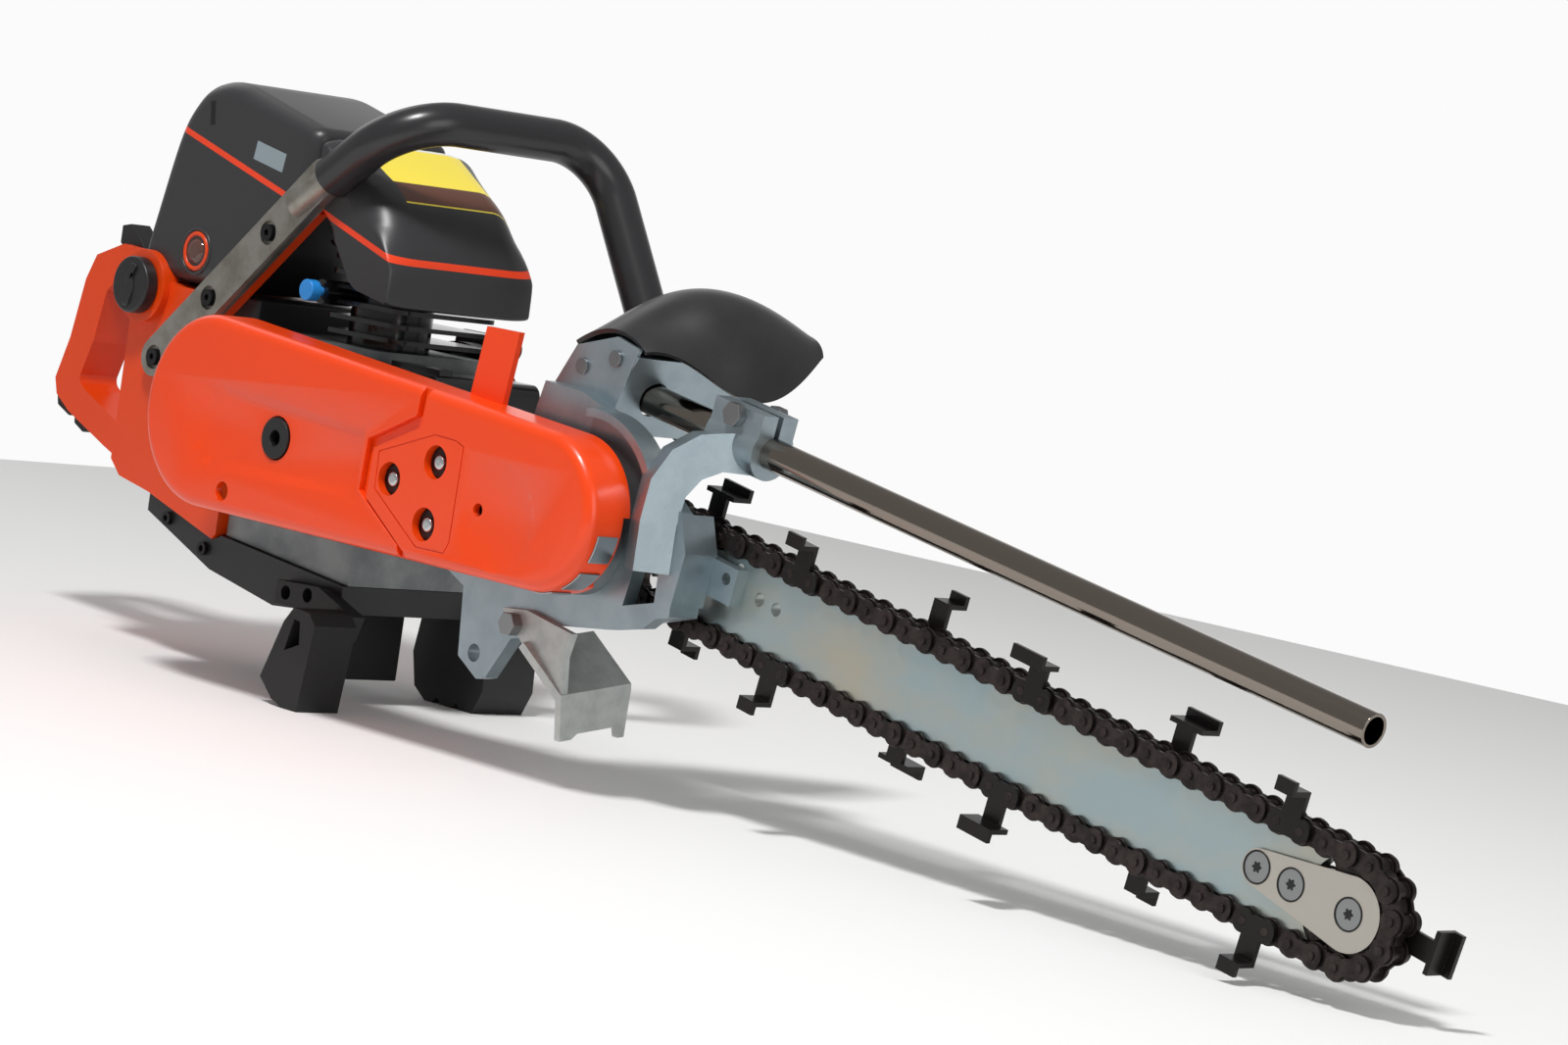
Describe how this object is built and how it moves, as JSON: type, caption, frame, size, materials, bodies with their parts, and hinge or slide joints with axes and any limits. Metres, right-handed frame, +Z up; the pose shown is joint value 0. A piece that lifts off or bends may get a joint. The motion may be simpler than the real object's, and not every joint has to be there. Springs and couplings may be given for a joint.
{
  "type": "hand-held chain trencher",
  "caption": "Hand-held trencher: two-stroke power head with belt-driven arm, guide bar with cutter chain, guard, and sliding depth tube.",
  "frame": {"origin": "under the middle of the whole machine's bounding box, on the floor", "axes": "+X along the floor towards the bar's nose, +Y to the operator's left (starter side), +Z up"},
  "size_m": [1.283, 0.2588, 0.3917],
  "materials": {
    "belt_rubber": "matte",
    "black_plastic": "satin",
    "black_rubber": "matte",
    "blue_plastic": "glossy",
    "cast_alloy": "cast",
    "chrome_steel": "polished",
    "clear_bulb": "translucent",
    "dark_shell": "satin",
    "dark_steel": "oiled",
    "filter_felt": "felt",
    "guard_rubber": "satin",
    "machined_alloy": "satin",
    "orange_paint": "glossy",
    "orange_shell": "glossy",
    "screw_steel": "satin",
    "sheet_steel": "heat stained",
    "zinc_steel": "zinc plated"
  },
  "bodies": {
    "machine": {"crankcase": "cast_alloy", "bearings": "screw_steel", "cylinder": "cast_alloy", "spark_plug": "screw_steel", "muffler": "sheet_steel", "intake_bellows": "black_rubber", "carburettor": "machined_alloy", "air_filter": "filter_felt", "air_filter_cover": "dark_shell", "cylinder_cover": "dark_shell", "tank_housing": "orange_shell", "heat_wall": "black_plastic", "rear_handle": "orange_shell", "rear_handle_pads": "black_rubber", "front_handle": "machined_alloy", "front_handle_grip": "black_rubber", "body_screws": "screw_steel", "starter_housing": "black_plastic", "starter_reel": "black_plastic", "clutch_drum": "dark_steel", "drive_belt": "belt_rubber", "driven_pulley": "screw_steel", "drive_shaft": "screw_steel", "cutting_arm": "cast_alloy", "arm_studs": "screw_steel", "belt_cover_rear": "orange_paint", "belt_cover_front": "orange_paint", "belt_cover_bush": "black_rubber", "cover_wear_pads": "zinc_steel", "adapter_casting": "machined_alloy", "adapter_fasteners": "screw_steel", "tension_bolt": "screw_steel", "guard_bracket": "machined_alloy", "guard": "guard_rubber", "stand": "zinc_steel", "bar": "zinc_steel", "nose_plates": "zinc_steel", "nose_screws": "screw_steel", "drive_sprocket": "dark_steel", "nose_sprocket": "dark_steel", "chain_inner_links": "dark_steel", "chain_outer_links": "dark_steel", "chain_cutters": "dark_steel", "bottom_shell": "black_plastic", "near_foot": "black_rubber", "far_foot": "black_rubber", "mud_flap": "black_rubber"},
    "crank": {"crankshaft": "screw_steel", "flywheel": "cast_alloy", "clutch_hub": "screw_steel"},
    "trigger": {"throttle_trigger": "black_plastic"},
    "lockout": {"throttle_lockout": "black_plastic"},
    "stop_switch": {"stop_switch": "black_plastic"},
    "choke": {"choke_knob": "black_plastic"},
    "decompression": {"decompression_button": "blue_plastic"},
    "primer": {"primer_bulb": "clear_bulb"},
    "fuel_cap": {"fuel_cap": "black_plastic"},
    "depth_tube": {"depth_tube": "chrome_steel"},
    "starter_handle": {"starter_handle": "black_plastic"}
  },
  "joints": [
    {"name": "crank_spin", "type": "hinge", "parent": "machine", "child": "crank", "pos_m": [-0.30549, 0.01357, 0.177], "axis": [0, 1, 0], "continuous": true},
    {"name": "throttle_trigger_pull", "type": "hinge", "parent": "machine", "child": "trigger", "pos_m": [-0.57149, 0.01357, 0.245], "axis": [0, 1, 0], "range_deg": [0, 14], "stiffness_Nm_per_rad": 1.5, "springref_deg": -2.86},
    {"name": "throttle_lockout_press", "type": "hinge", "parent": "machine", "child": "lockout", "pos_m": [-0.57549, 0.01357, 0.254], "axis": [0, -1, 0], "range_deg": [0, 10], "stiffness_Nm_per_rad": 1, "springref_deg": -2.86},
    {"name": "stop_switch_slide", "type": "slide", "parent": "machine", "child": "stop_switch", "axis": [1, 0, 0], "range_m": [-0.004, 0]},
    {"name": "choke_pull", "type": "slide", "parent": "machine", "child": "choke", "axis": [-1, 0, 0], "range_m": [0, 0.015]},
    {"name": "decompression_press", "type": "slide", "parent": "machine", "child": "decompression", "axis": [0, 1, 0], "range_m": [0, 0.004]},
    {"name": "primer_press", "type": "slide", "parent": "machine", "child": "primer", "axis": [0, 1, 0], "range_m": [0, 0.0035], "stiffness_N_per_m": 400},
    {"name": "fuel_cap_turn", "type": "hinge", "parent": "machine", "child": "fuel_cap", "pos_m": [-0.48749, -0.05743, 0.241], "axis": [0, 1, 0], "range_deg": [0, 90]},
    {"name": "depth_tube_slide", "type": "slide", "parent": "machine", "child": "depth_tube", "axis": [0.9871, 0, -0.1599], "range_m": [-0.06, 0.1]},
    {"name": "starter_handle_pull", "type": "slide", "parent": "machine", "child": "starter_handle", "axis": [0, 0, 1], "range_m": [0, 0.012], "stiffness_N_per_m": 60}
  ]
}
